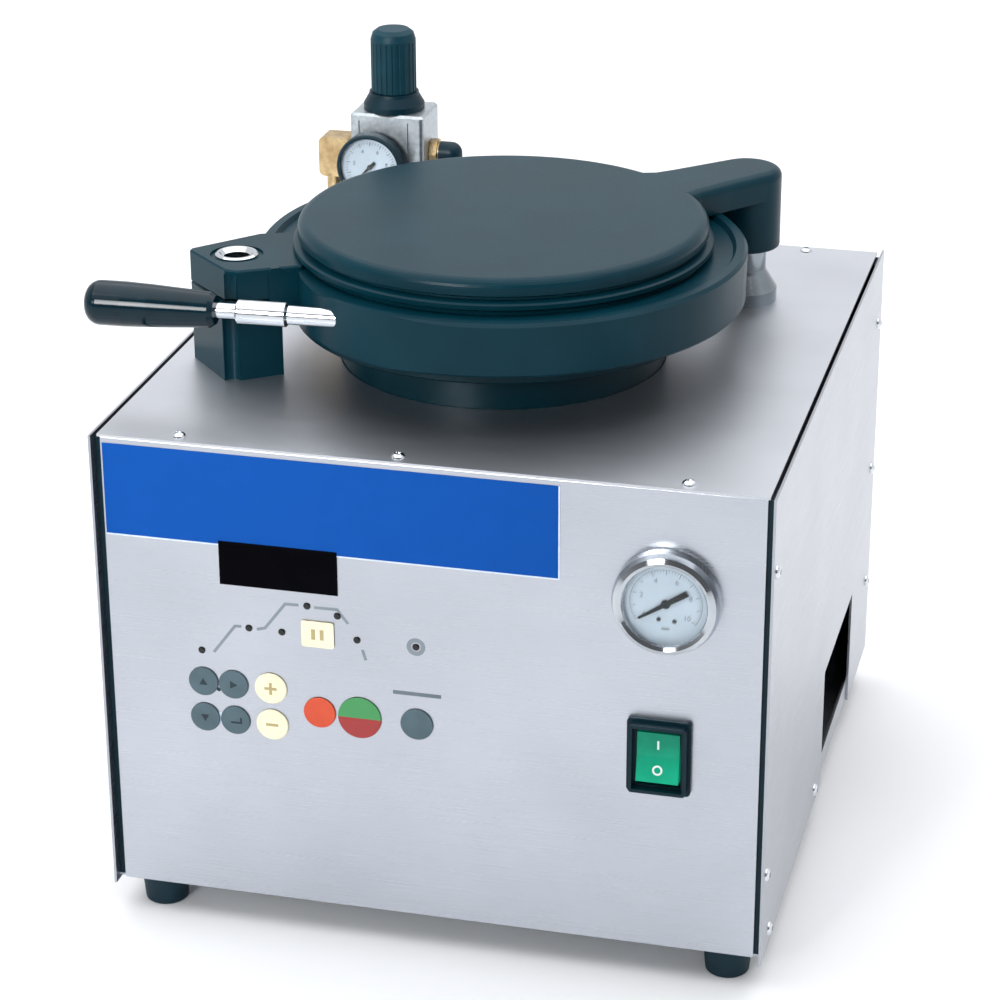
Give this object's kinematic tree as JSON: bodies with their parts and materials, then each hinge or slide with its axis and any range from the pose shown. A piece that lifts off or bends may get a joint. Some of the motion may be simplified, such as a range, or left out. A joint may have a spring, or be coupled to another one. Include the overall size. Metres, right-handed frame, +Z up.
{
  "type": "dental acrylic curing unit",
  "caption": "Bench curing unit: brushed steel box with a round pressure vessel, swing lid, lever lock ring, gauge, keypad, rocker switch and air regulator.",
  "frame": {"origin": "centre of the four feet on the bench, under the middle of the housing", "axes": "+Z up, +Y from the control panel to the rear, +X to the right seen from the front"},
  "size_m": [0.4258, 0.445, 0.456],
  "materials": {
    "brushed_stainless": "brushed satin",
    "zinc_plate": "zinc plated",
    "coated_casting": "powder coated satin",
    "coated_vessel": "powder coated",
    "bright_steel": "ground and polished",
    "black_rubber": "moulded",
    "seal_rubber": "moulded silicone",
    "black_plastic": "moulded gloss",
    "knob_plastic": "moulded satin",
    "label_blue": "printed film",
    "display_black": "tinted window",
    "key_slate": "moulded",
    "key_cream": "moulded",
    "key_orange": "moulded",
    "key_green_red": "two colour moulded",
    "led_black": "moulded",
    "rocker_green": "translucent moulded",
    "dial_white": "printed",
    "needle_black": "painted",
    "gauge_glass": "clear",
    "die_cast_alloy": "die cast, brightened",
    "brass": "turned",
    "circuit_board": "glass fibre board",
    "heater_mica": "rolled band"
  },
  "bodies": {
    "housing": {"base_plate": "brushed_stainless", "corner_posts": "zinc_plate", "front_panel": "brushed_stainless", "rear_panel": "brushed_stainless", "left_side_panel": "brushed_stainless", "right_side_panel": "brushed_stainless", "top_plate": "brushed_stainless", "rubber_feet": "black_rubber", "case_screws": "bright_steel", "mounting_screws": "zinc_plate", "pressure_vessel": "coated_vessel", "vessel_skirt": "zinc_plate", "heater_band": "heater_mica", "lock_block": "coated_casting", "hinge_post": "bright_steel", "hinge_post_nut": "zinc_plate", "label_film": "label_blue", "display_window": "display_black", "indicator_leds": "led_black", "control_board": "circuit_board", "front_gauge_case": "zinc_plate", "front_gauge_bezel": "bright_steel", "front_gauge_dial": "dial_white", "front_gauge_lens": "gauge_glass", "front_gauge_clamp": "zinc_plate", "rocker_frame": "black_plastic", "regulator_body": "die_cast_alloy", "regulator_collar": "black_plastic", "regulator_gauge_case": "black_plastic", "regulator_gauge_dial": "dial_white", "regulator_gauge_lens": "gauge_glass", "inlet_elbow": "brass", "outlet_nipple": "brass", "hose_elbow": "black_plastic", "air_tube": "black_plastic", "bulkhead_fitting": "brass", "regulator_bracket": "zinc_plate", "mains_inlet": "black_plastic", "power_supply": "zinc_plate", "solenoid_valve": "brass"},
    "lid": {"lid_casting": "coated_casting", "lid_seal": "seal_rubber"},
    "lock_ring_and_lever": {"lock_ring": "coated_casting", "lock_ear_bush": "bright_steel", "lever_rod": "bright_steel", "lever_grip": "black_plastic"},
    "rocker": {"rocker_button": "rocker_green"},
    "pressure_knob": {"regulator_knob": "knob_plastic"},
    "front_gauge_pointer": {"front_gauge_needle": "needle_black"},
    "regulator_gauge_pointer": {"regulator_gauge_needle": "needle_black"},
    "program_up_key": {"key_program_up": "key_slate"},
    "program_right_key": {"key_program_right": "key_slate"},
    "program_down_key": {"key_program_down": "key_slate"},
    "program_enter_key": {"key_program_enter": "key_slate"},
    "value_plus_key": {"key_value_plus": "key_cream"},
    "value_minus_key": {"key_value_minus": "key_cream"},
    "cycle_select_key": {"key_cycle_select": "key_cream"},
    "stop_key": {"key_stop": "key_orange"},
    "start_key": {"key_start": "key_green_red"},
    "pressure_key": {"key_pressure": "key_slate"}
  },
  "joints": [
    {"name": "lid_swing", "type": "hinge", "parent": "housing", "child": "lid", "pos_m": [0.1245, 0.104, 0.38], "axis": [0, 0, 1], "range_deg": [0, 110]},
    {"name": "lock_ring_turn", "type": "hinge", "parent": "housing", "child": "lock_ring_and_lever", "pos_m": [-0.002, -0.026, 0.37], "axis": [0, 0, 1], "range_deg": [0, 28]},
    {"name": "mains_rocker", "type": "hinge", "parent": "housing", "child": "rocker", "pos_m": [0.1368, -0.211, 0.1482], "axis": [1, 0, 0], "range_deg": [0, 12]},
    {"name": "pressure_knob_turn", "type": "hinge", "parent": "housing", "child": "pressure_knob", "pos_m": [-0.1312, 0.185, 0.43], "axis": [0, 0, 1], "continuous": true},
    {"name": "front_gauge_pointer_turn", "type": "hinge", "parent": "housing", "child": "front_gauge_pointer", "pos_m": [0.1398, -0.2205, 0.2468], "axis": [0, 1, 0], "range_deg": [0, 250]},
    {"name": "regulator_gauge_pointer_turn", "type": "hinge", "parent": "housing", "child": "regulator_gauge_pointer", "pos_m": [-0.1395, 0.152, 0.3685], "axis": [0, 1, 0], "range_deg": [0, 270]},
    {"name": "program_up_key_press", "type": "slide", "parent": "housing", "child": "program_up_key", "axis": [0, 1, 0], "range_m": [0, 0.0005], "stiffness_N_per_m": 400},
    {"name": "program_right_key_press", "type": "slide", "parent": "housing", "child": "program_right_key", "axis": [0, 1, 0], "range_m": [0, 0.0005], "stiffness_N_per_m": 400},
    {"name": "program_down_key_press", "type": "slide", "parent": "housing", "child": "program_down_key", "axis": [0, 1, 0], "range_m": [0, 0.0005], "stiffness_N_per_m": 400},
    {"name": "program_enter_key_press", "type": "slide", "parent": "housing", "child": "program_enter_key", "axis": [0, 1, 0], "range_m": [0, 0.0005], "stiffness_N_per_m": 400},
    {"name": "value_plus_key_press", "type": "slide", "parent": "housing", "child": "value_plus_key", "axis": [0, 1, 0], "range_m": [0, 0.0005], "stiffness_N_per_m": 400},
    {"name": "value_minus_key_press", "type": "slide", "parent": "housing", "child": "value_minus_key", "axis": [0, 1, 0], "range_m": [0, 0.0005], "stiffness_N_per_m": 400},
    {"name": "cycle_select_key_press", "type": "slide", "parent": "housing", "child": "cycle_select_key", "axis": [0, 1, 0], "range_m": [0, 0.0005], "stiffness_N_per_m": 400},
    {"name": "stop_key_press", "type": "slide", "parent": "housing", "child": "stop_key", "axis": [0, 1, 0], "range_m": [0, 0.0005], "stiffness_N_per_m": 400},
    {"name": "start_key_press", "type": "slide", "parent": "housing", "child": "start_key", "axis": [0, 1, 0], "range_m": [0, 0.0005], "stiffness_N_per_m": 400},
    {"name": "pressure_key_press", "type": "slide", "parent": "housing", "child": "pressure_key", "axis": [0, 1, 0], "range_m": [0, 0.0005], "stiffness_N_per_m": 400}
  ]
}
